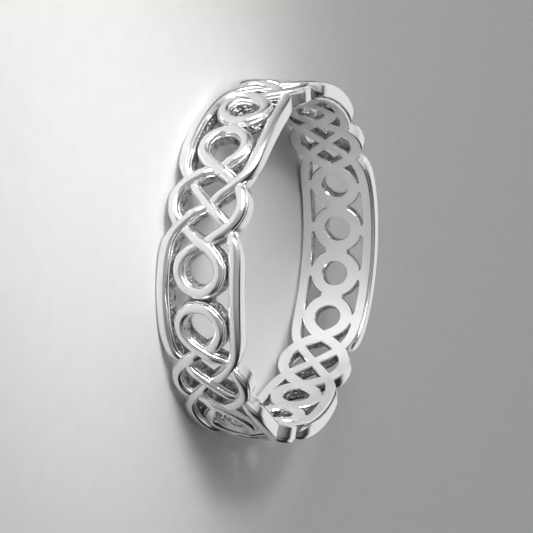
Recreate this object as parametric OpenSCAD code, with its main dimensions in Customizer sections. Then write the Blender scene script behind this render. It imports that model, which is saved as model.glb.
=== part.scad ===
/* [Finger] */
// Inside diameter of the band
finger_d = 18.2; // [17.4:0.1:19.8]

/* [Band] */
// Thickness of the casting, from the finger to the crown of a strand
wall_t = 1.0; // [0.9:0.05:1.2]
// Width of the band, over the feet of its two edge strands
band_w = 4.8; // [4.6:0.1:5.2]

/* [Strands] */
// Width of the strand that ties the knots and loops
strand_w = 0.56; // [0.48:0.01:0.6]
// Width of the two edge strands
edge_w = 0.5; // [0.44:0.01:0.56]
// How much wider a strand is at its foot than at its crown
foot_extra = 0.06; // [0:0.01:0.12]
// How far a strand ducks where another one crosses over it
duck = 0.2; // [0.1:0.01:0.3]

/* [Loops] */
// Radius of a round loop, to the middle of its strand
loop_r = 1.15; // [1.05:0.01:1.2]
// Extra width of a loop's foot on its outer side, which joins it to the next loop
loop_foot = 0.13; // [0.1:0.01:0.2]
// Width of the short bridges between a loop and the edge strands
bridge_w = 0.5; // [0.3:0.05:0.7]

/* [Hidden] */

// Columns of the table of knots, which runs once round the band
ANGLE = 0; // angle of the knot's middle, in degrees
LOOPS = 1; // number of round loops between this knot and the next one
knots = [
    [-77.4, 2],
    [-20.6, 2],
    [37.5, 1],
    [80.7, 2],
    [134.1, 4],
    [225.9, 2],
];
full_turn = 360;

// The pattern is drawn flat, in millimetres at the outer radius, and then wrapped round
bore_r = finger_d / 2;
outer_r = bore_r + wall_t;
mm_per_degree = PI * outer_r / 180;
foot_half = strand_w / 2 + foot_extra / 2;
edge_foot_extra = 0.12;
edge_foot_half = edge_w / 2 + foot_extra / 2 + edge_foot_extra;

// The knot: where its strands cross and how far its lobes bulge, from its middle
edge_v = band_w / 2 - edge_foot_half;
lobe_v = edge_v - 0.1;
cross_u = 12 * mm_per_degree; // crossing of a loop's two ends
side_cross = [7.2 * mm_per_degree, 0.7 * lobe_v]; // crossing of a lobe and an edge strand
cross_dir = [cos(60), -sin(60)];
lobe_reach = [1.15, 0.8]; // pull of the curve at the lobe's crown and at the crossing
tail_reach = [0.6, 0.72]; // pull of the curve at the crossing and at the loop
side_cross_t = 0.45; // where on a lobe the edge strand crosses, counted from the loop
edge_slope = 1.146; // slope of the edge strands through the knot's middle
edge_bend = 3.5; // how sharply they bend into the edge

// Loops stand this far from a knot and from each other where the gap is an average one
loop_from_knot = 19.9;
loop_pitch = 17.3;

// Section of a strand: height of its foot and of its shoulder over the finger, and width of its
// crown as a share of the whole. Where a strand ducks, its foot rises by a part of the duck.
foot_h = 0.02;
foot_lift = 0.2;
shoulder_h = 0.76 * wall_t;
crown_share = 0.5;
section_n = 6;
piece_n = 11; // sections in a piece of a strand

// Length over which a strand ducks, and the lengths of the curves that duck
duck_length = 0.9;
lobe_length = 3.0;
tail_length = 1.9;

// Steps along each curve
lobe_steps = 5;
tail_steps = 4;
half_loop_steps = 8;
ring_steps = 16;
edge_steps = 102;

// The hoops line the finger hole where the feet of lobes and edge strands cover them
hoop_v = lobe_v - 0.21;
hoop_w = 0.08;
hoop_t = 0.1;

// Webs: bridges from a loop to the edge strands, and necks from one loop to the next
web_foot_h = 0.05;
bridge_v = [loop_r, edge_v];
bridge_h = 0.42 * wall_t;
neck_size = [0.9, 1.3];
neck_h = 0.6 * wall_t;

// Gaps between the knots
count = len(knots);
function knot_angle(i) = knots[i % count][ANGLE] + (i >= count ? full_turn : 0);
function gap(i) = knot_angle(i + 1) - knot_angle(i);
function loops_after(i) = knots[(i + count) % count][LOOPS];
function stretch(i) =
    let (k = (i + count) % count)
    gap(k) / (2 * loop_from_knot + (knots[k][LOOPS] - 1) * loop_pitch);
function loop_u(i) = loop_from_knot * stretch(i) * mm_per_degree;

// A curve between two points, each with a direction and a pull
function blend(p, dp, pull_p, q, dq, pull_q, t) =
    let (a = p + dp * pull_p, b = q - dq * pull_q, s = 1 - t)
    p * s ^ 3 + a * 3 * s ^ 2 * t + b * 3 * s * t ^ 2 + q * t ^ 3;
function on_lobe(t) =
    blend([0, lobe_v], [1, 0], lobe_reach[0], [cross_u, 0], cross_dir, lobe_reach[1], t);
function on_tail(t, u) =
    blend([cross_u, 0], cross_dir, tail_reach[0], [u, -loop_r], [1, 0], tail_reach[1], t);
function dip(distance) =
    abs(distance) < duck_length ? duck * (1 + cos(180 * distance / duck_length)) / 2 : 0;

// A point of a strand is [u, v, how far it ducks, extra width of its foot on the right]
function point(p, ducks, extra) = [p[0], p[1], ducks, extra];
function steps(n) = [for (k = [0 : n - 1]) k / n];
function flip(path) = [for (p = path) [-p[0], -p[1], p[2], p[3]]];
function shift(path, u) = [for (p = path) [p[0] + u, p[1], p[2], p[3]]];
function mirror_u(p, about) = [2 * about - p[0], p[1]];
function mirror_v(p) = [p[0], -p[1]];

// The pieces of a knot's strand to the right of its middle, in the order in which it runs
function lobe_down() =
    [for (t = steps(lobe_steps)) point(on_lobe(t), dip((1 - t) * lobe_length), 0)];
function tail_down(u) =
    [for (t = steps(tail_steps)) point(on_tail(t, u), dip(t * tail_length), t * loop_foot)];
function half_loop(u) =
    [for (t = steps(half_loop_steps))
        point([u + loop_r * sin(180 * t), -loop_r * cos(180 * t)], 0, loop_foot)];
function tail_back(u) =
    [for (t = steps(tail_steps)) point(mirror_v(on_tail(1 - t, u)), 0, (1 - t) * loop_foot)];
function lobe_back() =
    [for (t = steps(lobe_steps))
        point(mirror_v(on_lobe(1 - t)), dip((t - side_cross_t) * lobe_length), 0)];

// Where one loop serves two knots, the strand runs on through the next knot and back
function through_next(i, u) =
    let (far = 2 * u)
    concat(
        [for (t = steps(tail_steps))
            point(mirror_u(on_tail(1 - t, u), u), 0, (1 - t) * loop_foot)],
        [for (t = steps(lobe_steps))
            point(mirror_u(on_lobe(1 - t), u), dip((t - side_cross_t) * lobe_length), 0)],
        shift(right_side(i + 1), far),
        [for (t = steps(lobe_steps))
            point(mirror_u(mirror_v(on_lobe(t)), u), dip((1 - t) * lobe_length), 0)],
        [for (t = steps(tail_steps))
            point(mirror_u(mirror_v(on_tail(t, u)), u), dip(t * tail_length), t * loop_foot)]
    );
function right_side(i) =
    let (u = loop_u(i))
    concat(
        lobe_down(),
        tail_down(u),
        loops_after(i) == 1 ? through_next(i, u) : half_loop(u),
        tail_back(u),
        lobe_back()
    );
function left_side(i) =
    let (u = loop_u(i - 1))
    flip(concat(lobe_down(), tail_down(u), half_loop(u), tail_back(u), lobe_back()));
function knot_strand(i) =
    shift(concat(right_side(i), left_side(i)), knot_angle(i) * mm_per_degree);

// A round loop that belongs to no knot
function plain_loop(angle) =
    [for (k = [0 : ring_steps - 1])
        let (a = full_turn * k / ring_steps)
        [angle * mm_per_degree + loop_r * cos(a), loop_r * sin(a), 0, loop_foot]];
function loop_angle(i, k) = knot_angle(i) + stretch(i) * (loop_from_knot + k * loop_pitch);

// An edge strand changes sides at every knot, so it weaves once round the band
function turns_since(angle) = len([for (k = knots) if (angle > k[ANGLE]) 1]);
function nearest(angle) =
    let (away = [for (k = knots, turn = [-1 : 1]) angle - k[ANGLE] - turn * full_turn])
    let (least = min([for (d = away) abs(d)]))
    [for (d = away) if (abs(d) == least) d][0];
function edge_point(angle, first_side) =
    let (d = nearest(angle), side = first_side * (turns_since(angle) % 2 == 0 ? 1 : -1))
    let (u = d * mm_per_degree, s = abs(u) * edge_slope / edge_v)
    let (out = s / (1 + s ^ edge_bend) ^ (1 / edge_bend), v = side * edge_v * out)
    // the strand rises through the knot if it is below before the knot or above after it
    let (rises = (u < 0) == (side < 0))
    let (from_side = norm([abs(u), abs(v)] - side_cross), from_middle = norm([u, v]))
    [angle * mm_per_degree, v, dip(rises ? from_side : from_middle), edge_foot_extra * out];
function edge_strand(first_side) =
    [for (k = [0 : edge_steps - 1])
        edge_point(knots[0][ANGLE] - gap(count - 1) / 2 + full_turn * k / edge_steps, first_side)];

// Wraps a point of the flat pattern round the finger, at a height over the bore
function wrap(u, v, h) =
    let (a = u / mm_per_degree, r = bore_r + h)
    [r * cos(a), r * sin(a), v];

// The section of a strand, from its right foot over the crown to its left foot
function section(p, across, half, foot, both_feet) =
    let (low = p[2], right = foot + p[3], left = foot + (both_feet ? p[3] : 0))
    let (bottom = foot_h + foot_lift * low)
    [
        for (s = [
            [-right, bottom],
            [-half, shoulder_h - low],
            [-half * crown_share, wall_t - low],
            [half * crown_share, wall_t - low],
            [half, shoulder_h - low],
            [left, bottom],
        ]) wrap(p[0] + across[0] * s[0], p[1] + across[1] * s[0], s[1])
    ];

// A strand whose path ends a whole turn on from its start closes there
module strand(path, half, foot, both_feet, whole_turn) {
    n = len(path);
    turn_u = whole_turn ? full_turn * mm_per_degree : 0;
    rings = [
        for (k = [0 : n - 1])
            let (before = path[(k + n - 1) % n], after = path[(k + 1) % n])
            let (wrap_before = k == 0 ? turn_u : 0, wrap_after = k == n - 1 ? turn_u : 0)
            let (du = after[0] + wrap_after - before[0] + wrap_before, dv = after[1] - before[1])
            section(path[k], [-dv, du] / norm([du, dv]), half, foot, both_feet)
    ];
    for (start = [0 : piece_n : n - 1])
        piece([for (k = [start : min(start + piece_n, n)]) rings[k % n]]);
}

// A short piece of a strand with closed ends, because a strand may cross itself
module piece(rings) {
    last = len(rings) - 1;
    sides = [
        for (k = [0 : last - 1], j = [0 : section_n - 1])
            let (j2 = (j + 1) % section_n)
            let (a = k * section_n + j, b = k * section_n + j2)
            each [[a, b, b + section_n], [a, b + section_n, a + section_n]]
    ];
    ends = [
        for (j = [1 : section_n - 2])
            each [[0, j + 1, j], [for (m = [0, j, j + 1]) last * section_n + m]]
    ];
    polyhedron(points = [for (ring = rings) each ring], faces = concat(sides, ends));
}

module edge_strands() {
    for (side = [-1, 1])
        strand(edge_strand(side), edge_w / 2, edge_foot_half - edge_foot_extra, true, true);
}

module knot_strands() {
    for (i = [0 : count - 1])
        if (loops_after(i - 1) != 1)
            strand(knot_strand(i), strand_w / 2, foot_half, false, false);
}

module plain_loops() {
    for (i = [0 : count - 1])
        if (knots[i][LOOPS] > 2)
            for (k = [1 : knots[i][LOOPS] - 2])
                strand(plain_loop(loop_angle(i, k)), strand_w / 2, foot_half, false, false);
}

// A low block that stands behind the strands, centred on an angle, and starts at a width
module web(angle, size, from_v) {
    rotate([0, 0, angle])
        translate([bore_r + web_foot_h, -size[1] / 2, from_v])
            cube(size);
}

module bridges() {
    size = [bridge_h - web_foot_h, bridge_w, bridge_v[1] - bridge_v[0]];
    for (i = [0 : count - 1], from_v = [bridge_v[0], -bridge_v[1]])
        for (k = [0 : knots[i][LOOPS] - 1])
            web(loop_angle(i, k), size, from_v);
}

module necks() {
    for (i = [0 : count - 1])
        if (knots[i][LOOPS] > 1)
            for (k = [0 : knots[i][LOOPS] - 2])
                web(loop_angle(i, k + 0.5), [neck_h - web_foot_h, each neck_size], -neck_size[1] / 2);
}

// The woven casting, brought to the outer size that the band is made to
module casting() {
    resize([2 * outer_r, 2 * outer_r, band_w])
        union() {
            edge_strands();
            knot_strands();
            plain_loops();
            bridges();
            necks();
        }
}

// A hoop round the finger hole, centred at a width
module hoop(v) {
    difference() {
        translate([0, 0, v - hoop_w / 2])
            cylinder(r = bore_r + hoop_t, h = hoop_w, $fn = 180);
        cylinder(r = bore_r, h = 2 * band_w, center = true, $fn = 180);
    }
}

module knot_band() {
    color("silver")
        translate([0, 0, band_w / 2])
            union() {
                casting();
                hoop(-hoop_v);
                hoop(hoop_v);
            }
}

knot_band();
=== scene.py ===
"""A silver finger ring of interlaced knots and round loops, on its side on a pale floor."""
import math

import bpy
from mathutils import Matrix, Vector
from mathutils.bvhtree import BVHTree


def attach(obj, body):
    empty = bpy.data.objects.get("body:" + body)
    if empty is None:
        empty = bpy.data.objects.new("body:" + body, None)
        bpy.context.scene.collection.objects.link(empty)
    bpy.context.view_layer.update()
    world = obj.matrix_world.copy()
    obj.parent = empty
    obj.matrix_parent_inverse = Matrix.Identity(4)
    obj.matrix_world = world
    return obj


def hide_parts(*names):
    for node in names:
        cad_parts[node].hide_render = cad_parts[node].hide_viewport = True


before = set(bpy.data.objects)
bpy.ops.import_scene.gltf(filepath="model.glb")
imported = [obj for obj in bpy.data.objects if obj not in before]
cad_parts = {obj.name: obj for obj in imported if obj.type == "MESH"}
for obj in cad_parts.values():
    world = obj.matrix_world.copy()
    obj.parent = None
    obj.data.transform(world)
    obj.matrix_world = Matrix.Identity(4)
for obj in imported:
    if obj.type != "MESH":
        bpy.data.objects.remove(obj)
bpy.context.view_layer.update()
bpy.ops.object.select_all(action="DESELECT")

# sizes, in millimetres

MM = 0.001
BORE_R = 9.1
WALL_T = 1.0
OUTER_R = BORE_R + WALL_T
BAND_W = 4.8
MID_Z = BAND_W / 2
MM_PER_DEGREE = math.pi * OUTER_R / 180  # round the outside

STRAND_HALF = 0.285   # half the width of a knot strand's bead
STRAND_FOOT = 0.37    # half the width of its foot
EDGE_HALF = 0.245     # half the width of an edge strand's bead
EDGE_FOOT = 0.29      # half the width of its foot, at a crossing
EDGE_FOOT_EXTRA = 0.085  # its foot widens by this toward the loops
RIM_FOOT = 0.265      # half the width of its foot on the side of the rim
LOOP_FOOT = 0.07      # extra width of the foot inside a loop
SUNK = 0.2            # depth that every foot reaches into the finger hole before it is bored
WORN_EDGE = 0.07      # height of the bevel between a wall and the finger's face
BEVEL_END = -0.03     # height at which the bevel stops, inside the finger hole
BEVEL_SLOPE = 0.8     # width of the bevel for its height
LEDGE_W = 0.04        # a ledge of this width or more follows its foot
LEDGE_SHARE = 0.2     # share of the foot's extra width that the ledge takes

# the pattern: u runs round the band and v across it, both from a knot's middle

EDGE_V = 2.02         # v of an edge strand beside the loops
LOBE_V = 1.9          # v of a lobe's crest
CROSS_U = 12 * MM_PER_DEGREE  # u where a knot's strands cross on their way to the loop
CROSS_DIR = (math.cos(math.radians(60)), -math.sin(math.radians(60)))
SIDE_CROSS = (7.2 * MM_PER_DEGREE, 0.7 * LOBE_V)  # a lobe crosses an edge strand here
SIDE_CROSS_T = 0.45   # and at this share of its own way
LOBE_REACH = (1.15, 0.8)  # how straight a lobe leaves its crest and comes to the crossing
TAIL_REACH = (0.6, 0.72)  # the same from the crossing to the loop
EDGE_SLOPE = 1.146    # an edge strand's slope at the knot's middle
EDGE_BEND = 3.5       # how sharply it turns level
RIM_FROM = 0.72       # share of its way out at which it starts to turn into a rim
RIM_OVER = 0.24       # and how much of its way that takes

LOOP_R = 1.15
LOOP_FROM_KNOT = 19.9  # degrees from a knot's middle to the next loop's
LOOP_PITCH = 17.3     # degrees from loop to loop

DUCK = 0.22           # how far a strand ducks under another
DUCK_LENGTH = 0.9     # and over what length on either side
LOBE_LENGTH = 3.0     # from a lobe's crest to the crossing
TAIL_LENGTH = 1.9     # from the crossing to the loop

BRIDGE_W = 1.2        # at its ends; half as much in the middle
BRIDGE_FROM = 1.4     # radius at which a bridge starts, in a loop's foot
BRIDGE_H = 0.42
NECK_W = 0.9
NECK_L = 1.36
NECK_H = 0.6
WEB_HOLLOW = 0.14     # share by which the top of a bridge or neck is hollowed

LOBE_STEPS = 26
TAIL_STEPS = 16
HALF_LOOP_STEPS = 30
RING_STEPS = 60
EDGE_STEPS = 540
BORE_STEPS = 360
KNOT_PIECES = 4       # closed pieces of a knot's strand
SMOOTH_ANGLE = 32     # degrees; a sharper turn shows as an edge

# Knots once round the band: angle of the knot's middle in degrees, loops before the next knot
KNOTS = [(-77.4, 2), (-20.6, 2), (37.5, 1), (80.7, 2), (134.1, 4), (225.9, 2)]

# Half the section of a strand, from the top of its wall to the middle of its crown.
# Columns: share of the bead's half width, ledge beyond it in mm, height over the finger's face
SHOULDER = [
    (1.0, 0.068, 0.640),
    (1.0, 0.060, 0.700),
    (1.0, 0.040, 0.735),
    (1.0, 0.012, 0.738),
    (1.0, 0.000, 0.790),
    (0.96, 0.0, 0.848),
    (0.85, 0.0, 0.905),
    (0.66, 0.0, 0.952),
    (0.36, 0.0, 0.986),
    (0.0, 0.0, 1.000),
]

# The same rows on the side of an edge strand that forms a rim, where the bead bulges past its
# foot and a groove lies between them.
# Columns: mm out from the strand's middle, height over the finger's face
RIM_SIDE = [
    (0.270, 0.140),
    (0.300, 0.155),
    (0.350, 0.175),
    (0.374, 0.210),
    (0.380, 0.280),
    (0.380, 0.680),
    (0.372, 0.800),
    (0.335, 0.900),
    (0.210, 0.975),
    (0.000, 1.000),
]

POLISHED, AS_CAST, SATIN = 0, 1, 2
WALL_ROW = 2          # row of a half section at which the as-cast wall starts


# the flat pattern

def knot_angle(i):
    return KNOTS[i % len(KNOTS)][0] + (360 if i >= len(KNOTS) else 0)


def loops_after(i):
    return KNOTS[i % len(KNOTS)][1]


def stretch(i):
    """How far the loops after a knot are drawn out to meet the next knot."""
    k = i % len(KNOTS)
    gap = knot_angle(k + 1) - knot_angle(k)
    return gap / (2 * LOOP_FROM_KNOT + (loops_after(k) - 1) * LOOP_PITCH)


def loop_u(i):
    return LOOP_FROM_KNOT * stretch(i) * MM_PER_DEGREE


def loop_angle(i, k):
    return knot_angle(i) + stretch(i) * (LOOP_FROM_KNOT + k * LOOP_PITCH)


def blend(p, dp, pull_p, q, dq, pull_q, t):
    """A point at share t of the curve that leaves p along dp and comes into q along dq."""
    s = 1 - t
    return tuple(
        p[a] * s ** 3 + (p[a] + dp[a] * pull_p) * 3 * s * s * t
        + (q[a] - dq[a] * pull_q) * 3 * s * t * t + q[a] * t ** 3 for a in (0, 1))


def on_lobe(t):
    return blend((0, LOBE_V), (1, 0), LOBE_REACH[0], (CROSS_U, 0), CROSS_DIR, LOBE_REACH[1], t)


def on_tail(t, u):
    return blend((CROSS_U, 0), CROSS_DIR, TAIL_REACH[0], (u, -LOOP_R), (1, 0), TAIL_REACH[1], t)


def dip(distance):
    """How far a strand ducks at this distance from the middle of a crossing."""
    if abs(distance) >= DUCK_LENGTH:
        return 0.0
    return DUCK * (1 + math.cos(math.pi * distance / DUCK_LENGTH)) / 2


def steps(n):
    return [k / n for k in range(n)]


def point(p, low, right_foot=0.0, left_foot=0.0, right_rim=0.0, left_rim=0.0):
    """One point of a path: place, how far the strand ducks, extra width of its foot on either
    side, and how far either side takes the shape of a rim."""
    return (p[0], p[1], low, right_foot, left_foot, right_rim, left_rim)


def mirror_v(p):
    return (p[0], -p[1])


def shift(path, u):
    return [(p[0] + u,) + p[1:] for p in path]


def flip(path):
    return [(-p[0], -p[1]) + p[2:] for p in path]


def lobe_down():
    return [point(on_lobe(t), dip((1 - t) * LOBE_LENGTH)) for t in steps(LOBE_STEPS)]


def tail_down(u):
    return [point(on_tail(t, u), dip(t * TAIL_LENGTH), t * LOOP_FOOT)
            for t in steps(TAIL_STEPS)]


def half_loop(u):
    turn = [math.pi * t for t in steps(HALF_LOOP_STEPS)]
    return [point((u + LOOP_R * math.sin(a), -LOOP_R * math.cos(a)), 0, LOOP_FOOT)
            for a in turn]


def tail_back(u):
    return [point(mirror_v(on_tail(1 - t, u)), 0, (1 - t) * LOOP_FOOT)
            for t in steps(TAIL_STEPS)]


def lobe_back():
    return [point(mirror_v(on_lobe(1 - t)), dip((t - SIDE_CROSS_T) * LOBE_LENGTH))
            for t in steps(LOBE_STEPS)]


def through_next(i, u):
    """Where one loop serves two knots, the strand runs on through the next knot and back."""
    there = flip(tail_back(u) + lobe_back())
    back = flip(lobe_down() + tail_down(u))
    return shift(there + right_side(i + 1) + back, 2 * u)


def one_side(u, turn):
    """From the crest of one lobe round a loop to the crest of the other."""
    return lobe_down() + tail_down(u) + turn + tail_back(u) + lobe_back()


def right_side(i):
    u = loop_u(i)
    return one_side(u, through_next(i, u) if loops_after(i) == 1 else half_loop(u))


def left_side(i):
    u = loop_u(i - 1)
    return flip(one_side(u, half_loop(u)))


def knot_path(i):
    return shift(right_side(i) + left_side(i), knot_angle(i) * MM_PER_DEGREE)


def ring_path(angle):
    turn = [2 * math.pi * t for t in steps(RING_STEPS)]
    return [point((angle * MM_PER_DEGREE + LOOP_R * math.cos(a), LOOP_R * math.sin(a)),
                  0, LOOP_FOOT) for a in turn]


def edge_path(first_side):
    """An edge strand changes sides at every knot, so it weaves once round the band."""
    last = len(KNOTS) - 1
    start = knot_angle(0) - (360 + knot_angle(0) - knot_angle(last)) / 2
    path = []
    for t in steps(EDGE_STEPS):
        angle = start + 360 * t
        away = [angle - middle - turn for middle, _ in KNOTS for turn in (-360, 0, 360)]
        u = min(away, key=abs) * MM_PER_DEGREE
        passed = sum(angle > middle for middle, _ in KNOTS)
        side = first_side * (1 if passed % 2 == 0 else -1)
        s = abs(u) * EDGE_SLOPE / EDGE_V
        out = s / (1 + s ** EDGE_BEND) ** (1 / EDGE_BEND)
        v = side * EDGE_V * out
        rises = (u < 0) == (side < 0)
        from_side = math.hypot(abs(u) - SIDE_CROSS[0], abs(v) - SIDE_CROSS[1])
        low = dip(from_side if rises else math.hypot(u, v))
        inner = EDGE_FOOT_EXTRA * out
        rim = min(1.0, max(0.0, (out - RIM_FROM) / RIM_OVER))
        rim *= rim * (3 - 2 * rim)
        place = (angle * MM_PER_DEGREE, v)
        path.append(point(place, low, left_rim=rim, right_foot=inner) if side > 0
                    else point(place, low, left_foot=inner, right_rim=rim))
    return path


# modelling

def wrapped(u, v, h):
    """A point of the flat pattern, bent round the finger. Lengths stay in millimetres here."""
    angle, r = math.radians(u / MM_PER_DEGREE), BORE_R + h
    return (r * math.cos(angle), r * math.sin(angle), MID_Z + v)


def side_of(half, foot, foot_extra, rim, low):
    """One side of a strand's section, from its foot to the middle of its crown."""
    worn = (WORN_EDGE - BEVEL_END) * BEVEL_SLOPE
    foot += foot_extra + rim * (RIM_FOOT - foot - foot_extra)
    rows = [(foot - worn, -SUNK), (foot - worn, BEVEL_END), (foot, WORN_EDGE)]
    for (share, ledge, height), (rim_out, rim_height) in zip(SHOULDER, RIM_SIDE):
        follow = LEDGE_SHARE * foot_extra * min(1.0, ledge / LEDGE_W)
        out = share * half + ledge + follow
        rows.append((out + rim * (rim_out - out), height + rim * (rim_height - height) - low))
    return rows


def section(p, across, half, foot):
    """The section at one point of a strand, from its right foot over the crown to its left."""
    low, right_foot, left_foot, right_rim, left_rim = p[2:]
    right = side_of(half, foot, right_foot, right_rim, low)
    left = side_of(half, foot, left_foot, left_rim, low)
    around = [(-s, h) for s, h in right] + left[-2::-1]
    return [wrapped(p[0] + across[0] * s, p[1] + across[1] * s, h) for s, h in around]


def new_object(name, data):
    obj = bpy.data.objects.new(name, data)
    bpy.context.collection.objects.link(obj)
    return obj


def only(obj):
    """Selects this object alone."""
    bpy.ops.object.select_all(action="DESELECT")
    obj.select_set(True)
    bpy.context.view_layer.objects.active = obj


def edit_all(obj, tool, **settings):
    """Uses one tool of edit mode on the whole mesh."""
    only(obj)
    bpy.ops.object.mode_set(mode="EDIT")
    bpy.ops.mesh.select_all(action="SELECT")
    tool(**settings)
    bpy.ops.object.mode_set(mode="OBJECT")


def strand(name, path, half, foot, whole_turn=False, pieces=1):
    """A strand is swept along its path in code: its foot widens and its crown ducks on the way,
    which no modelling tool gives. One that crosses itself comes in pieces with closed ends."""
    n, full = len(path), 360 * MM_PER_DEGREE
    rings = []
    for k, p in enumerate(path):
        before, after = path[k - 1], path[(k + 1) % n]
        du = after[0] - before[0]
        if whole_turn and k in (0, n - 1):
            du += full
        dv = after[1] - before[1]
        length = math.hypot(du, dv)
        rings.append(section(p, (-dv / length, du / length), half, foot))
    size, made = len(rings[0]), []
    walls = (WALL_ROW, size - 2 - WALL_ROW)
    per = math.ceil(n / pieces)
    for start in range(0, n, per):
        part = [rings[k % n] for k in range(start, min(start + per, n) + (pieces > 1))]
        m = len(part)
        corners = [corner for ring in part for corner in ring]
        faces, finish = [], []
        for k in range(m if pieces == 1 else m - 1):
            for j in range(size):
                j2 = (j + 1) % size
                a, b = k * size + j, k * size + j2
                c, d = (k + 1) % m * size + j2, (k + 1) % m * size + j
                faces.append((a, d, c, b))
                finish.append(AS_CAST if j in walls else POLISHED)
        if pieces > 1:
            start_cap = tuple(range(size))
            end_cap = tuple((m - 1) * size + j for j in reversed(range(size)))
            faces += [start_cap, end_cap]
            finish += [AS_CAST, AS_CAST]
        mesh = bpy.data.meshes.new(name)
        mesh.from_pydata(corners, [], faces)
        mesh.polygons.foreach_set("material_index", finish)
        made.append(new_object(name, mesh))
    return made


def neck_place(x, y):
    """A neck joins two neighbouring loops."""
    return NECK_W * x, NECK_L * y


def bridge_place(x, y):
    """A bridge starts on a loop's round foot, ends in an edge strand and is narrow between."""
    u = BRIDGE_W * x * (0.5 + 2 * y * y)
    near, far = math.sqrt(BRIDGE_FROM ** 2 - u * u), EDGE_V - EDGE_FOOT
    return u, near + (y + 0.5) * (far - near)


def web(name, angle, side, height, place):
    """A low block between two strands, bent round the finger with them."""
    bpy.ops.mesh.primitive_cube_add(size=1, location=(0, 0, 0))
    obj = bpy.context.object
    obj.name = name
    edit_all(obj, bpy.ops.mesh.subdivide, number_cuts=3)
    for vertex in obj.data.vertices:
        x, y, z = vertex.co
        u, v = place(x, y)
        top = height * (1 - WEB_HOLLOW + WEB_HOLLOW * (2 * x) ** 2)
        h = -SUNK + (z + 0.5) * (top + SUNK)
        vertex.co = wrapped(angle * MM_PER_DEGREE + u, side * v, h)
    for face in obj.data.polygons:
        face.material_index = AS_CAST
    return obj


def merged(name, base, others, cutter):
    """Joins the strands into one casting and bores it."""
    group = bpy.data.collections.new("strands")
    bpy.context.scene.collection.children.link(group)
    for obj in others:
        group.objects.link(obj)
    only(base)
    base.name = name
    for operation, thing in (("UNION", group), ("DIFFERENCE", cutter)):
        modifier = base.modifiers.new(operation.lower(), "BOOLEAN")
        modifier.solver = "MANIFOLD"
        modifier.operation = operation
        if operation == "UNION":
            modifier.operand_type = "COLLECTION"
            modifier.collection = thing
        else:
            modifier.object = thing
        bpy.ops.object.modifier_apply(modifier=modifier.name)
    for obj in others + [cutter]:
        bpy.data.objects.remove(obj, do_unlink=True)
    bpy.data.collections.remove(group)
    return base


def without_crumbs(obj):
    """Drops the few loose flakes that joining leaves, and keeps the casting."""
    name = obj.name
    edit_all(obj, bpy.ops.mesh.separate, type="LOOSE")
    shells = sorted(bpy.context.selected_objects, key=lambda piece: len(piece.data.polygons))
    casting = shells.pop()
    for crumb in shells:
        bpy.data.objects.remove(crumb, do_unlink=True)
    casting.name = name
    only(casting)
    return casting


def make_band(finishes):
    strands = []
    for side in (-1, 1):
        strands += strand("edge_strand", edge_path(side), EDGE_HALF, EDGE_FOOT, whole_turn=True)
    for i in range(len(KNOTS)):
        if loops_after(i - 1) != 1:
            knots_on_it = 2 if loops_after(i) == 1 else 1
            strands += strand("knot_strand", knot_path(i), STRAND_HALF, STRAND_FOOT,
                              pieces=KNOT_PIECES * knots_on_it)
        for k in range(1, loops_after(i) - 1):
            path = ring_path(loop_angle(i, k))
            strands += strand("plain_loop", path, STRAND_HALF, STRAND_FOOT)
    webs = []
    for i in range(len(KNOTS)):
        for k in range(loops_after(i)):
            for side in (-1, 1):
                webs.append(web("bridge", loop_angle(i, k), side, BRIDGE_H, bridge_place))
        for k in range(loops_after(i) - 1):
            webs.append(web("neck", loop_angle(i, k + 0.5), 1, NECK_H, neck_place))
    bpy.ops.mesh.primitive_cylinder_add(vertices=BORE_STEPS, radius=BORE_R, depth=3 * BAND_W,
                                        location=(0, 0, MID_Z))
    bore = bpy.context.object
    bore.data.transform(Matrix.Translation(bore.location))
    bore.location = (0, 0, 0)
    for face in bore.data.polygons:
        face.material_index = SATIN
    everything = strands + webs
    for obj in everything + [bore]:
        for finish in finishes:
            obj.data.materials.append(finish)
        edit_all(obj, bpy.ops.mesh.normals_make_consistent, inside=False)
    return without_crumbs(merged("knot_band_cast", everything[0], everything[1:], bore))


def polish_outer_walls(obj):
    """The rims are buffed like the crowns: a wall is polished if it turns to one side, lies
    well away from the band's middle and clear of the finger's face, and nothing hides it."""
    least_turn, from_middle, over_face, gap = 0.15, 1.2, 0.15, 0.01
    mesh = obj.data
    tree = BVHTree.FromPolygons([v.co for v in mesh.vertices],
                                [tuple(f.vertices) for f in mesh.polygons])
    for face in mesh.polygons:
        if face.material_index != AS_CAST or abs(face.normal.z) < least_turn:
            continue
        if abs(face.center.z - MID_Z) < from_middle:
            continue
        if face.center.xy.length < BORE_R + over_face:
            continue
        way = Vector((0, 0, 1 if face.normal.z > 0 else -1))
        if tree.ray_cast(face.center + way * gap, way)[0] is None:
            face.material_index = POLISHED


# materials

def linear(code):
    """sRGB hex to linear RGBA."""
    values = [int(code[k:k + 2], 16) / 255 for k in (1, 3, 5)]
    return [v / 12.92 if v <= 0.04045 else ((v + 0.055) / 1.055) ** 2.4 for v in values] + [1]


def add(tree, kind, settings=None, inputs=None, links=None):
    """Adds a node with its settings, its input values and what is linked into it."""
    node = tree.nodes.new(kind)
    for key, value in (settings or {}).items():
        setattr(node, key, value)
    for key, value in (inputs or {}).items():
        node.inputs[key].default_value = value
    for key, source in (links or {}).items():
        tree.links.new(source, node.inputs[key])
    return node


def material(name):
    """A new metal to build on, its node tree, the place on the object and the shader."""
    made = bpy.data.materials.new(name)
    made.use_nodes = True
    made.node_tree.nodes.clear()
    tree = made.node_tree
    place = add(tree, "ShaderNodeTexCoord").outputs["Object"]
    shader = add(tree, "ShaderNodeBsdfPrincipled", inputs={"Metallic": 1.0})
    add(tree, "ShaderNodeOutputMaterial", links={"Surface": shader.outputs[0]})
    return made, tree, place, shader


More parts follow.
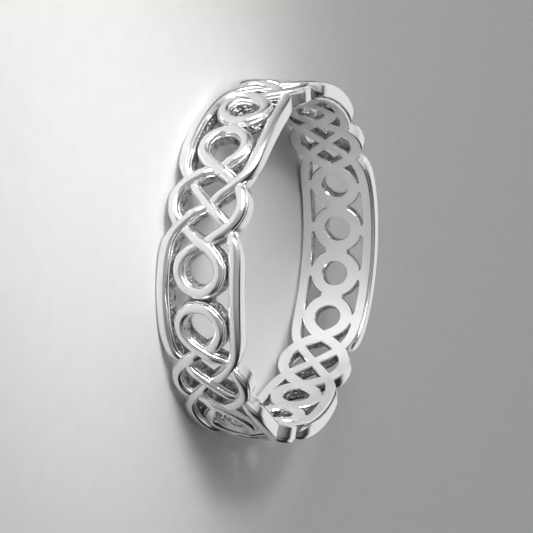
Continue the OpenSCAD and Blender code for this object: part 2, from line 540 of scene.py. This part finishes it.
def polished_silver():
    # Sterling silver, cast, then buffed to a mirror: the buff leaves the crowns slightly wavy,
    # about a millimetre from dent to dent, and a few hairline scratches dull the shine.
    made, tree, place, shader = material("sterling_silver_buffed")
    shader.inputs["Base Color"].default_value = linear("#F1F1F0")
    waves = add(tree, "ShaderNodeTexNoise", inputs={"Scale": 800.0, "Detail": 0.0},
                links={"Vector": place})
    rub = add(tree, "ShaderNodeTexNoise", inputs={"Scale": 5200.0, "Detail": 4.0},
              links={"Vector": place})
    dull = add(tree, "ShaderNodeMapRange",
               inputs={"From Min": 0.3, "From Max": 0.75, "To Min": 0.18, "To Max": 0.23},
               links={"Value": rub.outputs[0]})
    tree.links.new(dull.outputs[0], shader.inputs["Roughness"])
    bump = add(tree, "ShaderNodeBump", inputs={"Strength": 0.2, "Distance": 0.00002},
               links={"Height": waves.outputs[0]})
    tree.links.new(bump.outputs[0], shader.inputs["Normal"])
    return made


def as_cast_silver():
    # The walls in the piercings keep the skin of the investment mould: grains of 0.1 to 0.2 mm,
    # greyer in the pits, which sparkle where a grain faces the light.
    made, tree, place, shader = material("sterling_silver_as_cast")
    grain = add(tree, "ShaderNodeTexVoronoi", inputs={"Scale": 6400.0}, links={"Vector": place})
    lumps = add(tree, "ShaderNodeTexNoise",
                inputs={"Scale": 3100.0, "Detail": 6.0, "Roughness": 0.65},
                links={"Vector": place})
    height = add(tree, "ShaderNodeMath", {"operation": "ADD"},
                 links={0: grain.outputs["Distance"], 1: lumps.outputs[0]})
    tone = add(tree, "ShaderNodeValToRGB", links={"Fac": lumps.outputs[0]})
    tone.color_ramp.elements[0].position = 0.35
    tone.color_ramp.elements[0].color = linear("#5B5B5A")
    tone.color_ramp.elements[1].position = 0.62
    tone.color_ramp.elements[1].color = linear("#CFCFCE")
    tree.links.new(tone.outputs[0], shader.inputs["Base Color"])
    dull = add(tree, "ShaderNodeMapRange",
               inputs={"From Min": 0.3, "From Max": 0.7, "To Min": 0.45, "To Max": 0.22},
               links={"Value": lumps.outputs[0]})
    tree.links.new(dull.outputs[0], shader.inputs["Roughness"])
    bump = add(tree, "ShaderNodeBump", inputs={"Strength": 1.0, "Distance": 0.00014},
               links={"Height": height.outputs[0]})
    tree.links.new(bump.outputs[0], shader.inputs["Normal"])
    return made


def satin_silver():
    # The finger's face is turned on a mop: fine lines run round the band, a few hundredths of a
    # millimetre apart, and blur what it mirrors.
    made, tree, place, shader = material("sterling_silver_satin")
    shader.inputs["Base Color"].default_value = linear("#F3F3F2")
    lines = add(tree, "ShaderNodeMapping", inputs={"Scale": (0.03, 0.03, 1.0)},
                links={"Vector": place})
    turned = add(tree, "ShaderNodeTexNoise", inputs={"Scale": 22000.0, "Detail": 3.0},
                 links={"Vector": lines.outputs[0]})
    soft = add(tree, "ShaderNodeTexNoise", inputs={"Scale": 900.0, "Detail": 2.0},
               links={"Vector": place})
    dull = add(tree, "ShaderNodeMapRange",
               inputs={"From Min": 0.35, "From Max": 0.7, "To Min": 0.48, "To Max": 0.56},
               links={"Value": soft.outputs[0]})
    tree.links.new(dull.outputs[0], shader.inputs["Roughness"])
    bump = add(tree, "ShaderNodeBump", inputs={"Strength": 0.3, "Distance": 0.00001},
               links={"Height": turned.outputs[0]})
    tree.links.new(bump.outputs[0], shader.inputs["Normal"])
    return made


def floor_paper():
    # Matt studio paper, off-white, with a faint tooth.
    made, tree, place, shader = material("studio_paper")
    shader.inputs["Metallic"].default_value = 0.0
    shader.inputs["Roughness"].default_value = 0.9
    tooth = add(tree, "ShaderNodeTexNoise", inputs={"Scale": 900.0, "Detail": 3.0},
                links={"Vector": place})
    tone = add(tree, "ShaderNodeValToRGB", links={"Fac": tooth.outputs[0]})
    tone.color_ramp.elements[0].color = linear("#CBCBCA")
    tone.color_ramp.elements[1].color = linear("#D2D2D1")
    tree.links.new(tone.outputs[0], shader.inputs["Base Color"])
    return made


# camera, light and floor

def place_camera():
    """Looks at the lying ring as the photograph does, with the finger's axis toward picture
    right. Place and turn were fitted to the photograph."""
    data = bpy.data.cameras.new("camera")
    data.sensor_width = 36.0
    data.lens = 110.16
    data.clip_start = 0.005
    data.clip_end = 10.0
    camera = new_object("camera", data)
    right = Vector((-0.40763535, -0.05166153, 0.91168224))
    down = Vector((0.06646529, 0.99407144, 0.08604846))
    forward = right.cross(down).normalized()
    turn = Matrix((right, -down, -forward)).transposed().to_4x4()
    place = Vector((83.71986, -8.37872, 38.72643)) * MM
    camera.matrix_world = Matrix.Translation(place) @ turn
    bpy.context.scene.camera = camera
    bpy.context.scene.view_settings.view_transform = "Standard"


def soft_box(name, place, aim, width, height, power, spread=180):
    """A lamp with a diffuser: metres, watts, and the spread of its light in degrees."""
    data = bpy.data.lights.new(name, "AREA")
    data.shape = "RECTANGLE"
    data.size, data.size_y = width, height
    data.energy = power
    data.spread = math.radians(spread)
    lamp = new_object(name, data)
    lamp.location = place
    lamp.visible_camera = False
    lamp.rotation_euler = (Vector(aim) - Vector(place)).to_track_quat("-Z", "Y").to_euler()


def light_studio():
    """A near soft box makes a pool of light in front of the ring, which the crowns mirror. A
    low one on the side of picture top lights the finger's face, one behind lights the rims and
    one above fills in. The room is dim on the other side."""
    world = bpy.data.worlds.new("studio")
    bpy.context.scene.world = world
    world.use_nodes = True
    tree = world.node_tree
    tree.nodes.clear()
    way = add(tree, "ShaderNodeTexCoord").outputs["Generated"]
    bright_side = (0.74, -0.54, 0.40)
    toward = add(tree, "ShaderNodeVectorMath", {"operation": "DOT_PRODUCT"},
                 {1: bright_side}, {0: way})
    share = add(tree, "ShaderNodeMapRange", inputs={"From Min": -1.0, "From Max": 1.0},
                links={"Value": toward.outputs["Value"]})
    ramp = add(tree, "ShaderNodeValToRGB", links={"Fac": share.outputs[0]})
    ramp.color_ramp.elements[0].position = 0.46
    ramp.color_ramp.elements[0].color = (0.04, 0.0405, 0.0415, 1)
    ramp.color_ramp.elements[1].position = 0.80
    ramp.color_ramp.elements[1].color = (1.0, 1.0, 1.0, 1)
    sky = add(tree, "ShaderNodeBackground", inputs={"Strength": 0.36},
              links={"Color": ramp.outputs[0]})
    add(tree, "ShaderNodeOutputWorld", links={"Surface": sky.outputs[0]})
    aim = (0, 0, MID_Z * MM)
    soft_box("key", (0.045, -0.050, 0.045), (0.016, -0.007, 0), 0.030, 0.030, 0.0035, spread=28)
    soft_box("front", (0.085, -0.105, 0.040), aim, 0.08, 0.04, 0.024, spread=70)
    soft_box("top", (-0.05, -0.10, 0.15), aim, 0.18, 0.18, 0.05)
    soft_box("back", (-0.26, 0.02, 0.125), aim, 0.40, 0.23, 0.235)


def lay_floor(paper):
    bpy.ops.mesh.primitive_plane_add(size=4.0, location=(0, 0, 0))
    floor = bpy.context.object
    floor.name = "floor"
    floor.data.materials.append(paper)


# the scene

place_camera()
light_studio()
lay_floor(floor_paper())

band = make_band((polished_silver(), as_cast_silver(), satin_silver()))
polish_outer_walls(band)
band.data.transform(Matrix.Scale(MM, 4))
only(band)
bpy.ops.object.shade_smooth_by_angle(angle=math.radians(SMOOTH_ANGLE))
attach(band, "root")
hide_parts("knot_band")
